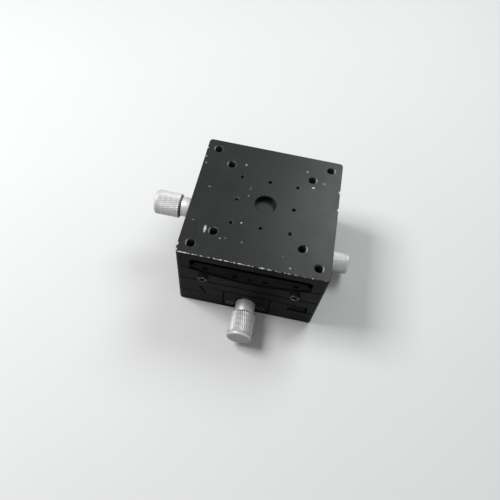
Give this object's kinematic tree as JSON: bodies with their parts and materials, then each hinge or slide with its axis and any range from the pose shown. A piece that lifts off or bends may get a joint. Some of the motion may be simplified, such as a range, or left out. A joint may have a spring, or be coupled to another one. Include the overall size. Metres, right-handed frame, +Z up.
{
  "type": "two-axis goniometer stage",
  "caption": "Square black tilt stage of two crossed arc-dovetail units with silver knurled worm knobs at the left and front and a clamp knob at the right",
  "frame": {"origin": "middle of the foot's underside, where the axes of the 50 mm square of foot holes cross", "axes": "+Z up; the upper unit's knob points along -X, the lower unit's knob along -Y and the clamp knob along +X"},
  "size_m": [0.0893, 0.0768, 0.04],
  "materials": {
    "black_anodised": "satin black anodised aluminium, worn to bare metal along its edges",
    "silver_knob": "matte silver anodised aluminium, knurled grip",
    "steel": "ground steel",
    "black_steel": "black oxide steel, bright where worn",
    "brass": "machined brass"
  },
  "bodies": {
    "foot": {"lower_base": "black_anodised", "lower_bearing_block": "black_anodised", "lower_block_screws": "black_steel", "lower_front_bush": "brass", "lower_rear_bush": "brass", "lower_thrust_washer": "steel", "lower_knob_washer": "steel", "lower_stop_pin": "steel"},
    "carriage": {"lower_table": "black_anodised", "lower_gib": "black_anodised", "lower_gib_screws": "black_steel", "lower_sector": "brass", "lower_sector_screws": "black_steel", "upper_base": "black_anodised", "upper_bearing_block": "black_anodised", "upper_block_screws": "black_steel", "upper_front_bush": "brass", "upper_rear_bush": "brass", "upper_thrust_washer": "steel", "upper_knob_washer": "steel", "upper_stop_pin": "steel", "stacking_screws": "black_steel", "upper_side_screws": "black_steel"},
    "tabletop": {"upper_table": "black_anodised", "upper_gib": "black_anodised", "upper_gib_screws": "black_steel", "upper_sector": "brass", "upper_sector_screws": "black_steel", "upper_lock_screw": "black_steel"},
    "lower_drive": {"lower_worm_shaft": "steel", "lower_knob": "silver_knob", "lower_knob_screw": "black_steel"},
    "upper_drive": {"upper_worm_shaft": "steel", "upper_knob": "silver_knob", "upper_knob_screw": "black_steel"},
    "clamp_plug": {"lower_clamp_pad": "brass"},
    "clamp_handle": {"lower_clamp_knob": "silver_knob", "lower_clamp_stud": "steel"}
  },
  "joints": [
    {"name": "lower_tilt", "type": "hinge", "parent": "foot", "child": "carriage", "pos_m": [0, 0, 0.11], "axis": [1, 0, 0], "range_deg": [-8, 8]},
    {"name": "upper_tilt", "type": "hinge", "parent": "carriage", "child": "tabletop", "pos_m": [0, 0, 0.11], "axis": [0, 1, 0], "range_deg": [-10, 10]},
    {"name": "lower_knob_turn", "type": "hinge", "parent": "foot", "child": "lower_drive", "pos_m": [0, -0.03, 0.0078], "axis": [0, 1, 0], "range_deg": [-1990, 1990]},
    {"name": "upper_knob_turn", "type": "hinge", "parent": "carriage", "child": "upper_drive", "pos_m": [-0.03, 0, 0.027], "axis": [1, 0, 0], "range_deg": [-2010, 2010]},
    {"name": "clamp_travel", "type": "slide", "parent": "carriage", "child": "clamp_plug", "axis": [1, 0, 0], "range_m": [0, 0.0005]},
    {"name": "clamp_turn", "type": "hinge", "parent": "clamp_plug", "child": "clamp_handle", "pos_m": [0.035, 0, 0.00755], "axis": [1, 0, 0], "range_deg": [-1, 361]}
  ],
  "couplings": [
    {"joint": "lower_knob_turn", "follows": "lower_tilt", "ratio": -248},
    {"joint": "upper_knob_turn", "follows": "upper_tilt", "ratio": 200},
    {"joint": "clamp_turn", "follows": "clamp_travel", "rad_per_m": 12566}
  ]
}
